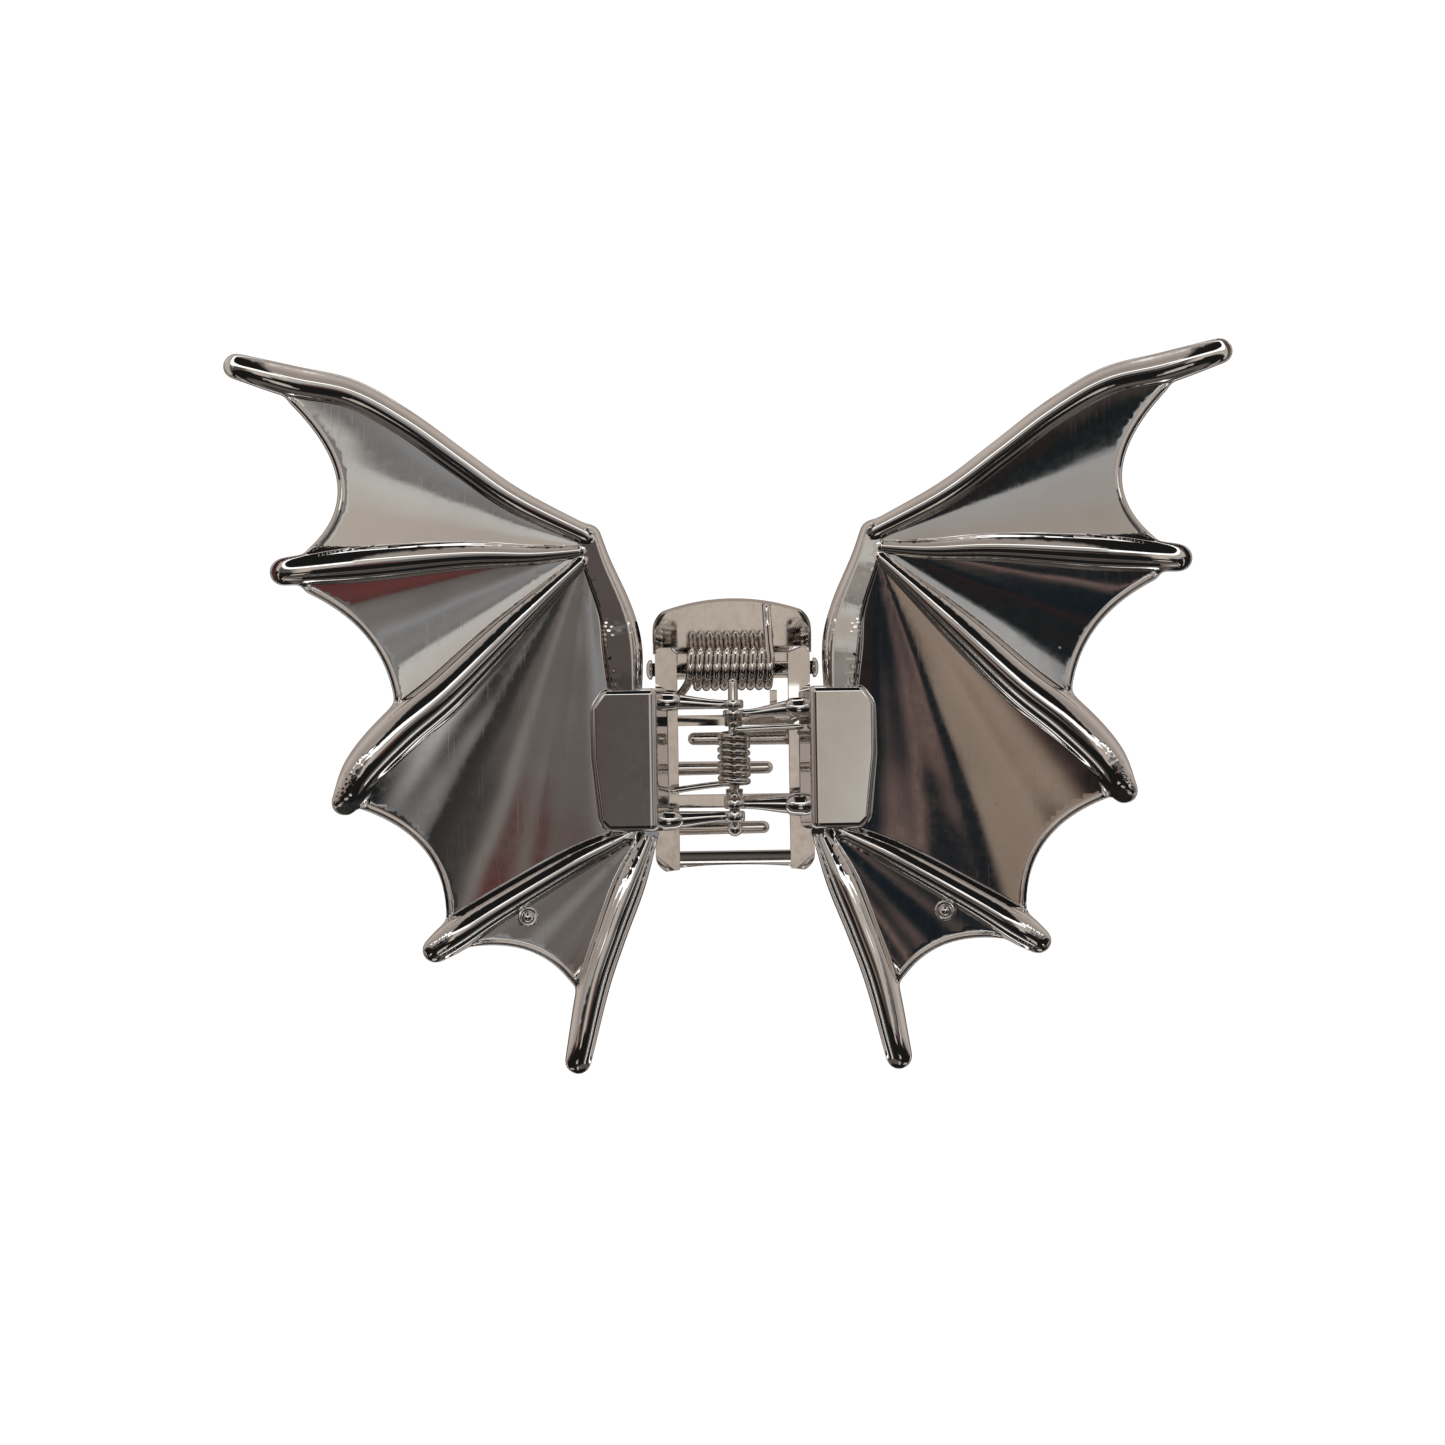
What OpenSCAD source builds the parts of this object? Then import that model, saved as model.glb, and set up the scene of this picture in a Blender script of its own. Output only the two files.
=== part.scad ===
// Bat-wing hair clip: a spring clip whose upper jaw carries two hinged, sprung wings.
// +X is the wearer's right wing, +Y the press plate's end, +Z away from the hair.
// The origin is under the middle of the clip, on the plane of the lower jaw's underside.

/* [Jaws] */
// Half width of both jaws
jaw_half_w = 8.6; // [8.4:0.1:8.8]
// Thickness of the stamped jaw metal
sheet_t = 1; // [0.8:0.1:1]
// Front end of both jaws, as a Y coordinate
jaw_front = -17.9; // [-18.3:0.1:-17.7]
// Y coordinate of the jaw pin
jaw_pin_y = 4.7; // [4.6:0.1:4.8]
// Height of the jaw pin over the lower jaw's underside
jaw_pin_z = 3.6; // [3.6:0.1:3.8]
// Diameter of the jaw pin
jaw_pin_d = 1.5; // [1.4:0.1:1.6]
// Downward slope of the upper jaw towards its front, in degrees
jaw_slope = 6.5; // [6:0.5:7]

/* [Wings] */
// Height of the wing pin
wing_pin_z = 7; // [6.9:0.1:7.2]
// Diameter of the wing pin
wing_pin_d = 1.1; // [1:0.1:1.2]
// Rise of the wings towards their tips, in degrees
dihedral = 12; // [10:1:14]
// Thickness of the wing membranes
membrane_t = 1.1; // [0.9:0.1:1.3]

/* [Springs] */
// Wire diameter of the jaw spring
jaw_wire_d = 0.95; // [0.85:0.05:0.95]
// Turns of the jaw spring
jaw_turns = 9; // [8:1:9]
// Wire diameter of the wing spring
wing_wire_d = 0.72; // [0.6:0.02:0.74]
// Turns of the wing spring
wing_turns = 7.5; // [6.5:1:7.5]

/* [Fits] */
// Radial clearance of each wing eye and each upper jaw ear on its pin
running_gap = 0.05; // [0.03:0.01:0.08]

/* [Hidden] */
$fn = 48;

chrome = [0.72, 0.69, 0.66];
dark_chrome = [0.45, 0.44, 0.44];
wire = [0.62, 0.60, 0.58];
overlap = 0.2;

// Jaws
corner_r = 2;
front_flare = 0.3;
rail_w = 2.4;
plate_end = 12.6;
plate_bend = 7;
plate_rise = 21;
lug_t = 0.8;
lug_inner = 6.9;
lug_r = 1.4;
ear_r = 2.45;
ear_t = 0.8;
ear_outer = jaw_half_w;
jaw_pin_end = 9.6;
jaw_pin_head_h = 0.7;
finger_tip_r = 0.7;
finger_root_r = 0.8;
// Y spans of the upper jaw's crossbars
top_crossbar = [-1.4, -0.3];
foot_crossbar = [-10.6, -9.2];
upper_top = jaw_pin_z + 2.5;

// Wing pin, from its round top end to its peened foot
wing_pin_top = 3.6;
wing_pin_foot = -12.5;
wing_pin_head_r = 0.85;
lug_boss_r = 0.95;
// Y spans of the two lugs that stand on the upper jaw and hold the wing pin
top_lug = [-1.75, -0.85];
foot_lug = [-9.65, -8.7];
// Y spans of the wings' eyes on that pin
left_eyes = [[0.2, 1.2], [-12.3, -11.1]];
right_eyes = [[-0.75, 0.1], [-10.9, -9.8]];
eye_r = 1.15;
arm_t = 1.5;

// Springs
jaw_coil_r = 2.48 - jaw_wire_d / 2;
jaw_coil = [4.25, -4.75];
wing_coil_r = 1.85 - wing_wire_d / 2;
wing_coil = [-8.05, -2.15];
wire_sides = 8;
steps_per_turn = 20;

// Brackets
block_inner = 7.1;
block_outer = 15.8;
block_top = 2.6;
block_foot = -13.2;

// Wings
wing_root_z = 5.1;
// Ribs: points along each, as distance from the middle, Y, and half width
arm_rib = [[12, 2, 2.3], [12.3, 6.9, 2.2], [13, 11.1, 1.9], [14.9, 16.2, 1.6], [15.8, 19.4, 1.35]];
leading_rib = [
    [15.8, 19.4, 1.1], [23.8, 23.4, 1.4], [29.6, 27.5, 1.45], [35.6, 31.9, 1.5],
    [41.4, 35.1, 1.6], [47.4, 36.4, 1.7], [53.5, 38.1, 1.35]
];
second_rib = [[15.8, 17.9, 0.6], [22, 17.4, 1.1], [29.6, 17.4, 1.6], [40.3, 16.6, 2], [48.7, 15.8, 1.5]];
third_rib = [
    [15.8, 17.4, 0.6], [20.7, 12.9, 1.3], [25.7, 8.2, 2], [31.7, 2.4, 2.4],
    [36.5, -1.6, 2.5], [40.4, -5.7, 2.2], [42.6, -9.4, 1.4]
];
fourth_rib = [[12.6, -13.9, 0.9], [18.1, -16.6, 1.4], [26.5, -21.4, 1.65], [30.8, -24.1, 1.8], [33.1, -25.7, 1.4]];
fifth_rib = [[9.6, -13.5, 1], [11.9, -18.8, 1.8], [14.1, -24.5, 1.8], [16, -30.1, 1.75], [17.8, -38.4, 1.4]];
ribs = [arm_rib, leading_rib, second_rib, third_rib, fourth_rib, fifth_rib];
rib_rise = 0.95;
// Scalloped free edges between the ribs: start, control point and end
scallops = [
    [[48, 34.4], [38.5, 24.8], [46.2, 18.1]],
    [[46.6, 13.7], [38, 9.7], [37, 1.4]],
    [[40.9, -10.1], [31.5, -13.5], [31.8, -22.6]],
    [[29.1, -25.4], [21.6, -24.7], [18.1, -30.1]]
];
scallop_steps = 8;
wing_root = [[9.3, -13], [9, 2.2]];
stud_at = [23.15, -22.3];
stud_r = 1.15;

// A wing's own plane is tilted by the dihedral, so its lengths across are longer than in plan.
function in_plane(p) = [p[0] / cos(dihedral), p[1]];
function bend(p, c, q, t) = (1 - t) * (1 - t) * p + 2 * t * (1 - t) * c + t * t * q;
function scallop(s) = [for (i = [0:scallop_steps]) bend(s[0], s[1], s[2], i / scallop_steps)];

// Rings of a round tube along a path, with its caps, as one polyhedron
function unit(v) = v / norm(v);
function along(path, i) = unit(path[min(i + 1, len(path) - 1)] - path[max(i - 1, 0)]);
function ring(path, i, r, up) =
    let (t = along(path, i), side = unit(cross(up[i], t)), over = cross(t, side))
    [for (k = [0:wire_sides - 1]) path[i] + r * (cos(360 * k / wire_sides) * side
        + sin(360 * k / wire_sides) * over)];

module tube(path, r, up) {
    rings = len(path);
    walls = [for (i = [0:rings - 2], k = [0:wire_sides - 1])
        let (n = (k + 1) % wire_sides, a = i * wire_sides)
        each [[a + k, a + n, a + wire_sides + n], [a + k, a + wire_sides + n, a + wire_sides + k]]];
    start_cap = [[for (k = [0:wire_sides - 1]) wire_sides - 1 - k]];
    end_cap = [[for (k = [0:wire_sides - 1]) (rings - 1) * wire_sides + k]];
    polyhedron(
        points = [for (i = [0:rings - 1]) each ring(path, i, r, up)],
        faces = concat(walls, start_cap, end_cap)
    );
}

// Rod along X or Y between two coordinates
module x_rod(from, to, r) {
    translate([from, 0, 0]) rotate([0, 90, 0]) cylinder(h = to - from, r = r);
}

module y_rod(from, to, r) {
    translate([0, to, 0]) rotate([90, 0, 0]) cylinder(h = to - from, r = r);
}

// Plate outline shared by both jaws: sides that flare a little to the front, round corners, bowed front edge
module jaw_outline(back) {
    bow_r = 55;
    half_w = jaw_half_w + front_flare;
    shoulder = jaw_front + corner_r;
    difference() {
        union() {
            polygon([[-jaw_half_w, back], [-jaw_half_w, -6], [-half_w, shoulder],
                     [half_w, shoulder], [jaw_half_w, -6], [jaw_half_w, back]]);
            translate([corner_r - half_w, jaw_front]) square([2 * (half_w - corner_r), corner_r + overlap]);
            for (side = [-1, 1])
                translate([side * (half_w - corner_r), shoulder]) circle(corner_r);
        }
        translate([0, jaw_front + 0.7 - bow_r]) circle(bow_r, $fn = 360);
    }
}

// Round tapering tongue that reaches across the window from one side
module finger(y, z, side, tip) {
    from = jaw_half_w - rail_w / 2;
    translate([0, y, z]) {
        translate([side * from, 0, 0]) rotate([0, -side * 90, 0])
            cylinder(h = from - side * tip, r1 = finger_root_r, r2 = finger_tip_r);
        translate([tip, 0, 0]) sphere(finger_tip_r);
    }
}

// Round-cornered plate with an arched end, bent up behind the jaw pin
module press_plate() {
    half_w = 8.9;
    corner = 2.8;
    arch_r = 22;
    length = (plate_end - plate_bend) / cos(plate_rise);
    shoulder = length - 3.7;
    translate([0, plate_bend, 0]) rotate([plate_rise, 0, 0]) linear_extrude(sheet_t) intersection() {
        union() {
            translate([corner - half_w, -overlap]) square([2 * (half_w - corner), length + overlap]);
            translate([-half_w, -overlap]) square([2 * half_w, shoulder + overlap]);
            for (side = [-1, 1]) translate([side * (half_w - corner), shoulder]) circle(corner);
        }
        translate([0, length - arch_r]) circle(arch_r, $fn = 180);
    }
}

module lower_jaw() {
    window_half = jaw_half_w - rail_w;
    window = [-15.7, 3.6];
    color(chrome) {
        linear_extrude(sheet_t) difference() {
            jaw_outline(plate_bend);
            translate([-window_half, window[0]]) square([2 * window_half, window[1] - window[0]]);
        }
        // Nothing reaches below the flat underside
        intersection() {
            press_plate();
            translate([-10, plate_bend - 1, 0]) cube([20, 10, 6]);
        }
        finger(-6.4, finger_root_r, -1, 3.7);
        finger(-13.1, finger_root_r, -1, 3.2);
        // Lugs that hold the jaw pin, under the upper jaw's rails
        for (side = [-1, 1])
            difference() {
                translate([side > 0 ? lug_inner : -lug_inner - lug_t, jaw_pin_y, 0]) {
                    translate([0, -lug_r, sheet_t / 2])
                        cube([lug_t, 2 * lug_r, jaw_pin_z - sheet_t / 2]);
                    translate([0, 0, jaw_pin_z]) x_rod(0, lug_t, lug_r);
                }
                translate([0, jaw_pin_y, jaw_pin_z]) x_rod(-10, 10, jaw_pin_d / 2);
            }
    }
}

module upper_plate() {
    window_half = jaw_half_w - rail_w;
    ear_corner_r = 0.7;
    back = jaw_pin_y + 2.6 - ear_corner_r;
    difference() {
        jaw_outline(back);
        translate([-window_half, -20]) square([2 * window_half, back + 21]);
    }
    // Round tops of the two ears
    for (side = [-1, 1]) {
        middle = side * (jaw_half_w - rail_w / 2);
        translate([middle - rail_w / 2 + ear_corner_r, back - overlap])
            square([rail_w - 2 * ear_corner_r, ear_corner_r + overlap]);
        for (end = [-1, 1])
            translate([middle + end * (rail_w / 2 - ear_corner_r), back]) circle(ear_corner_r);
    }
    for (span = [top_crossbar, foot_crossbar])
        translate([-window_half - overlap, span[0]])
            square([2 * (window_half + overlap), span[1] - span[0]]);
    // Tongue towards the jaw spring
    translate([4.1, top_crossbar[0]]) square([0.8, 3.8]);
}

// Lug on a crossbar of the upper jaw, round the wing pin
module pin_lug(span, foot_z) {
    difference() {
        union() {
            y_rod(span[0], span[1], lug_boss_r);
            translate([-lug_boss_r, span[0], foot_z - wing_pin_z])
                cube([2 * lug_boss_r, span[1] - span[0], wing_pin_z - foot_z]);
        }
        y_rod(span[0] - 1, span[1] + 1, wing_pin_d / 2);
    }
}

// Height of the upper jaw's upper face at a given Y
function upper_face(y) = upper_top - (jaw_pin_y - y) * tan(jaw_slope);

// Front bar of the upper jaw, rolled down to meet the lower jaw; zero height is the plate's top
module rolled_front() {
    roll_r = 3.2;
    middle = -14.75;
    window_edge = -15.6;
    half_w = jaw_half_w - rail_w + overlap;
    intersection() {
        difference() {
            translate([0, middle, -roll_r]) x_rod(-half_w, half_w, roll_r);
            translate([0, middle, -roll_r]) x_rod(-half_w - 1, half_w + 1, roll_r - sheet_t);
        }
        translate([0, 0, -2.4]) linear_extrude(3.4) intersection() {
            jaw_outline(0);
            translate([-10, window_edge - 5]) square([20, 5]);
        }
    }
}

module upper_jaw() {
    plate_top = upper_top - jaw_pin_z;
    color(chrome) {
        difference() {
            union() {
                translate([0, jaw_pin_y, jaw_pin_z]) rotate([jaw_slope, 0, 0]) translate([0, -jaw_pin_y, plate_top]) {
                    translate([0, 0, -sheet_t]) linear_extrude(sheet_t) upper_plate();
                    rolled_front();
                    finger(-2.95, -sheet_t, 1, -4.4);
                }
                // Ears bent down from the rails, round the jaw pin
                for (side = [-1, 1])
                    translate([side > 0 ? ear_outer - ear_t : -ear_outer, jaw_pin_y, jaw_pin_z])
                        difference() {
                            x_rod(0, ear_t, ear_r);
                            translate([-1, -5, plate_top - 0.7]) cube([5, 10, 5]);
                        }
            }
            translate([0, jaw_pin_y, jaw_pin_z]) x_rod(-10, 10, jaw_pin_d / 2 + running_gap);
        }
        translate([0, 0, wing_pin_z]) {
            pin_lug(top_lug, upper_face(-1.3) - sheet_t / 2);
            pin_lug(foot_lug, upper_face(-9.4) - sheet_t / 2);
        }
    }
}

module jaw_pin() {
    color(dark_chrome) translate([0, jaw_pin_y, jaw_pin_z]) {
        x_rod(-jaw_pin_end, jaw_pin_end, jaw_pin_d / 2);
        for (side = [-1, 1])
            translate([side > 0 ? jaw_pin_end - jaw_pin_head_h : -jaw_pin_end, 0, 0])
                x_rod(0, jaw_pin_head_h, jaw_pin_d / 2 + 0.35);
    }
}

module wing_pin() {
    color(dark_chrome) translate([0, 0, wing_pin_z]) {
        y_rod(wing_pin_foot, wing_pin_top - wing_pin_d / 2, wing_pin_d / 2);
        translate([0, wing_pin_top - wing_pin_d / 2, 0]) sphere(wing_pin_d / 2);
        translate([0, wing_pin_foot - 0.6, 0]) sphere(wing_pin_head_r);
    }
}

// Torsion spring on the jaw pin: one leg lies on the press plate, one under the left rail
module jaw_spring() {
    steps = jaw_turns * steps_per_turn + 3;
    start = 60;
    coil = [for (i = [0:steps]) let (a = start + 360 * i / steps_per_turn)
        [jaw_coil[0] + (jaw_coil[1] - jaw_coil[0]) * i / steps,
         jaw_pin_y + jaw_coil_r * cos(a), jaw_pin_z + jaw_coil_r * sin(a)]];
    plate_leg = [[3.9, 11.4, 3.35], [4, 9.2, 3.5], [4.1, 7.3, jaw_pin_z + 0.85]];
    rail_leg = [[-5.4, 2.4, 4.2], [-7.2, 1, 4.05]];
    path = concat(plate_leg, coil, rail_leg);
    color(wire) tube(path, jaw_wire_d / 2, [for (p = path) [1, 0, 0]]);
}

// Torsion spring on the wing pin, with a leg against each bracket
module wing_spring() {
    steps = wing_turns * steps_per_turn;
    length = wing_coil[1] - wing_coil[0];
    coil = [for (i = [0:steps]) let (a = 360 * i / steps_per_turn)
        [wing_coil_r * sin(a), wing_coil[1] - length * i / steps,
         wing_pin_z + wing_coil_r * cos(a)]];
    right_leg = [[7.4, -1.9, wing_pin_z + wing_coil_r], [2.5, -2.1, wing_pin_z + wing_coil_r]];
    left_leg = [[-2.5, -8.2, wing_pin_z - wing_coil_r], [-6.9, -8.8, wing_pin_z - wing_coil_r + 0.3]];
    path = concat(right_leg, coil, left_leg);
    color(wire) tube(path, wing_wire_d / 2, [for (p = path) [0, 1, 0]]);
}

// Tapered arm from a block to its eye on the wing pin
module bracket_arm(eye, block_from, block_to) {
    difference() {
        translate([0, 0, wing_pin_z - arm_t / 2]) linear_extrude(arm_t)
            polygon([[0, eye[0]], [eye_r, eye[0]], [block_inner + 1, block_from],
                     [block_inner + 1, block_to], [eye_r, eye[1]], [0, eye[1]]]);
        translate([0, 0, wing_pin_z]) y_rod(eye[0] - 2, eye[1] + 2, wing_pin_d / 2 + running_gap);
    }
    translate([0, 0, wing_pin_z]) difference() {
        y_rod(eye[0], eye[1], eye_r);
        y_rod(eye[0] - 1, eye[1] + 1, wing_pin_d / 2 + running_gap);
    }
}

// Handle block over a wing's root: its face falls away outwards, its inner wall slopes
module block() {
    inner_low = [block_inner, 6.1];
    inner_high = [8.6, 10];
    outer_high = [block_outer, 9.4];
    outer_low = [block_outer, 7.4];
    intersection() {
        translate([0, block_top, 0]) rotate([90, 0, 0]) linear_extrude(block_top - block_foot)
            polygon([inner_low, inner_high, outer_high, outer_low]);
        linear_extrude(12)
            polygon([[block_inner - 1, block_top], [block_outer - 1.4, block_top], [block_outer, 0.7],
                     [block_outer, -5], [block_outer - 0.8, -12.2], [block_outer - 1.8, block_foot],
                     [block_inner - 1, block_foot]]);
    }
}

// A wing's bracket as it stands on the right-hand side
module bracket(eyes, top_reach, foot_reach) {
    color(chrome) {
        block();
        bracket_arm(eyes[0], top_reach[0], top_reach[1]);
        bracket_arm(eyes[1], foot_reach[0], foot_reach[1]);
    }
}

module right_bracket() {
    bracket(right_eyes, [-0.7, 1.2], [-11.6, -9.4]);
}

module left_bracket() {
    mirror([1, 0, 0]) bracket(left_eyes, [0.2, 2], [-13, -11]);
}

// Rounded rib along a row of points, each with its half width
module rib(points) {
    for (i = [0:len(points) - 2])
        hull() for (p = [points[i], points[i + 1]])
            translate([each in_plane(p), membrane_t / 2]) scale([1, 1, rib_rise]) sphere(p[2], $fn = 14);
}

// One wing casting in its own plane
module wing_casting() {
    outline = concat(
        wing_root, arm_rib, [for (i = [1:5]) leading_rib[i]],
        scallop(scallops[0]), scallop(scallops[1]), [third_rib[5]],
        scallop(scallops[2]), scallop(scallops[3]), [fifth_rib[2], fifth_rib[1]]
    );
    linear_extrude(membrane_t) polygon([for (p = outline) in_plane(p)]);
    // Nothing reaches below the membrane's underside
    intersection() {
        union() for (r = ribs) rib(r);
        translate([0, -60, 0]) cube([70, 120, 10]);
    }
}

module in_wing_plane() {
    translate([0, 0, wing_root_z]) rotate([0, -dihedral, 0]) children();
}

module right_wing() {
    color(dark_chrome) in_wing_plane() wing_casting();
}

module left_wing() {
    color(chrome) mirror([1, 0, 0]) in_wing_plane() wing_casting();
}

module stud() {
    color(chrome) in_wing_plane() translate([each in_plane(stud_at), membrane_t - 0.1]) {
        cylinder(h = 0.5, r = stud_r);
        translate([0, 0, 0.3]) sphere(stud_r * 0.6);
    }
}

module right_stud() {
    stud();
}

module left_stud() {
    mirror([1, 0, 0]) stud();
}

lower_jaw();
upper_jaw();
jaw_pin();
jaw_spring();
wing_pin();
wing_spring();
left_bracket();
right_bracket();
left_wing();
right_wing();
left_stud();
right_stud();
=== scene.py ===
"""Bat-wing hair clip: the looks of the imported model, seen from straight above on a pale floor."""
from math import cos, pi, radians, sin, tan

import bmesh
import bpy
import numpy as np
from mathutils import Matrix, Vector
from mathutils.geometry import delaunay_2d_cdt


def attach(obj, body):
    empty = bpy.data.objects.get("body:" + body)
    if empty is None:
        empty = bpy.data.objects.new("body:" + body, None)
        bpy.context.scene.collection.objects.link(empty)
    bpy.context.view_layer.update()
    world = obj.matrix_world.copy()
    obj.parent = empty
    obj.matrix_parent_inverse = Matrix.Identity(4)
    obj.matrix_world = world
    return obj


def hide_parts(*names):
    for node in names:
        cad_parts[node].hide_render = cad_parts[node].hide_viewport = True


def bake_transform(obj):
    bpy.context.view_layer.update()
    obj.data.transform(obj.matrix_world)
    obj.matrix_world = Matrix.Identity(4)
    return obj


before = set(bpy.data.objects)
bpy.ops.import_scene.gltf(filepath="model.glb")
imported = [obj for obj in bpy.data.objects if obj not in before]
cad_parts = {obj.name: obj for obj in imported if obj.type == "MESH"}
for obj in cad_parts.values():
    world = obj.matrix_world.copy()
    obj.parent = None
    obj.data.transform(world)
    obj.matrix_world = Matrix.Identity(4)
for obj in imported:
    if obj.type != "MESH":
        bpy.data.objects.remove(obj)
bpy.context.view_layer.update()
MM = 0.001

# ---------------------------------------------------------------- sizes, in millimetres
DIHEDRAL = radians(12)
WING_ROOT_Z = 5.1
MEMBRANE_T = 1.1
JAW_PIN = Vector((0, 4.7, 3.6))
WING_PIN_Z = 7
EYE_R = 1.15
JAW_EDGE_R = 0.22

# Folds of the membranes fan out from the wrist, and from the foot below rib four
WRIST = np.array([15.8, 18.4])
FOOT = np.array([8, -11])
DISH = 0.11
# Each membrane between two ribs: its first and last angle, and where across it the low line runs
MEMBRANES = ((-100, -45, 0.3), (-45, 0, 0.4), (0, 36, 0.6))

# Ribs, as in the CAD: each point's distance from the middle, Y and half width
ARM = [[12, 1, 1.7], [12.3, 6.9, 2.2], [13, 11.1, 1.9], [14.9, 16.2, 1.6], [15.8, 19.4, 1.35]]
LEADING = [
    [15.8, 19.4, 1.1], [23.8, 23.4, 1.4], [29.6, 27.5, 1.45], [35.6, 31.9, 1.5],
    [41.4, 35.1, 1.6], [47.4, 36.4, 1.7], [53.44, 38.1, 1.35],
]
SECOND = [[15.8, 17.9, 0.6], [22, 17.4, 1.1], [29.6, 17.4, 1.6], [40.3, 16.6, 2], [48.7, 15.8, 1.5]]
THIRD = [
    [15.8, 17.4, 0.6], [20.7, 12.9, 1.3], [25.7, 8.2, 2], [31.7, 2.4, 2.4],
    [36.5, -1.6, 2.5], [40.4, -5.7, 2.2], [42.6, -9.4, 1.4],
]
FOURTH = [
    [12.6, -13.9, 0.9], [18.1, -16.6, 1.4], [26.5, -21.4, 1.65], [30.8, -24.1, 1.8], [33.1, -25.7, 1.4],
]
FIFTH = [[9.6, -13.5, 1], [11.9, -18.8, 1.8], [14.1, -24.5, 1.8], [16, -30.1, 1.75], [17.8, -38.4, 1.4]]
# Free edges of the membranes between rib tips: first point, middle control point, last point
SCALLOPS = [
    [[48, 34.4], [38.5, 24.8], [46.2, 18.1]],
    [[46.6, 13.7], [38, 9.7], [37, 1.4]],
    [[40.9, -10.1], [31.5, -13.5], [31.8, -22.6]],
    [[29.1, -25.4], [21.6, -24.7], [18.1, -30.1]],
]
WING_ROOT = [[9.3, -13], [9, 2.2]]
STUD = (23.15, -22.3)


# ---------------------------------------------------------------- camera
def make_camera():
    """Looks straight down, framed and turned as the photograph is."""
    frame_width = 159.7
    focal, sensor = 100, 36
    middle = Vector((-1.2, -1.3, 8))
    data = bpy.data.cameras.new("camera")
    data.lens = focal
    data.sensor_width = sensor
    data.clip_start, data.clip_end = 0.01, 10
    camera = bpy.data.objects.new("camera", data)
    bpy.context.scene.collection.objects.link(camera)
    camera.location = (middle + Vector((0, 0, frame_width * focal / sensor))) * MM
    camera.rotation_euler = (0, 0, radians(-0.9))
    bpy.context.scene.camera = camera


# ---------------------------------------------------------------- materials
class Nodes:
    """Short names for building a node tree."""

    def __init__(self, tree):
        self.tree = tree
        tree.nodes.clear()

    def add(self, kind, values=None, **settings):
        node = self.tree.nodes.new("ShaderNode" + kind)
        for key, value in settings.items():
            setattr(node, key, value)
        for key, value in (values or {}).items():
            node.inputs[key].default_value = value
        return node

    def link(self, source, target):
        self.tree.links.new(source, target)

    def fed(self, kind, source, values):
        """A node whose vector comes from the source."""
        node = self.add(kind, values)
        self.link(source, node.inputs["Vector"])
        return node

    def maths(self, operation, a, b):
        """Sum or product of a socket and a second socket or number."""
        node = self.add("Math", operation=operation)
        self.link(a, node.inputs[0])
        if isinstance(b, float):
            node.inputs[1].default_value = b
        else:
            self.link(b, node.inputs[1])
        return node.outputs[0]

    def ramp(self, source, stops):
        """Colour ramp through (place, colour or grey) stops."""
        ramp = self.add("ValToRGB")
        elements = ramp.color_ramp.elements
        while len(elements) < len(stops):
            elements.new(1)
        for element, (place, value) in zip(elements, stops):
            element.position = place
            colour = value if isinstance(value, tuple) else (value,) * 3
            element.color = (*colour, 1)
        self.link(source, ramp.inputs["Fac"])
        return ramp.outputs["Color"]


def dusty(n, place, roughness, amount):
    """Rougher in small dots, kept only where a second noise is high."""
    dust = n.fed("TexVoronoi", place, {"Scale": 420.0, "Randomness": 1.0})
    chance = n.fed("TexNoise", place, {"Scale": 130.0, "Detail": 1.0})
    few = n.ramp(chance.outputs["Fac"], [(0.62, 0.0), (0.68, 1.0)])
    dots = n.ramp(dust.outputs["Distance"], [(0.05, 1.0), (0.11, 0.0)])
    spots = n.maths("MULTIPLY", n.maths("MULTIPLY", dots, few), amount)
    return n.maths("ADD", roughness, spots)


def scratched(n, place, strength):
    """Normal with fine scratches: a stretched noise, turned off the axes."""
    turned = n.fed("Mapping", place, {"Rotation": (0.0, 0.0, radians(35)), "Scale": (2600.0, 110.0, 500.0)})
    marks = n.fed("TexNoise", turned.outputs["Vector"], {"Scale": 1.0, "Detail": 4.0, "Roughness": 0.75})
    lines = n.ramp(marks.outputs["Fac"], [(0.6, 0.0), (0.72, 1.0)])
    bump = n.add("Bump", {"Strength": strength, "Distance": 0.000004})
    n.link(lines, bump.inputs["Height"])
    return bump.outputs["Normal"]


def waved(n, place, strength, normal):
    """The normal with a faint, slow wave on top."""
    swell = n.fed("TexNoise", place, {"Scale": 60.0, "Detail": 1.5})
    bump = n.add("Bump", {"Strength": strength, "Distance": 0.00025})
    n.link(swell.outputs["Fac"], bump.inputs["Height"])
    n.link(normal, bump.inputs["Normal"])
    return bump.outputs["Normal"]


def plated_metal(name, light, dark, rough, wave=0.0, scratch=0.15, specks=0.0):
    """Chrome or steel: slow tone changes, fine scratches and, where asked for, dust and a faint wave."""
    material = bpy.data.materials.new(name)
    material.use_nodes = True
    n = Nodes(material.node_tree)
    out = n.add("OutputMaterial")
    shader = n.add("BsdfPrincipled", {"Metallic": 1.0})
    n.link(shader.outputs["BSDF"], out.inputs["Surface"])
    place = n.add("TexCoord").outputs["Object"]

    tone = n.fed("TexNoise", place, {"Scale": 70.0, "Detail": 3.0, "Roughness": 0.6})
    n.link(n.ramp(tone.outputs["Fac"], [(0.35, dark), (0.65, light)]), shader.inputs["Base Color"])

    grain = n.fed("TexNoise", place, {"Scale": 900.0, "Detail": 6.0, "Roughness": 0.7})
    roughness = n.ramp(grain.outputs["Fac"], [(0.3, rough * 0.55), (0.75, rough * 1.7)])
    if specks:
        roughness = dusty(n, place, roughness, specks)
    n.link(roughness, shader.inputs["Roughness"])

    normal = scratched(n, place, scratch)
    if wave:
        normal = waved(n, place, wave, normal)
    n.link(normal, shader.inputs["Normal"])
    return material


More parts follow.
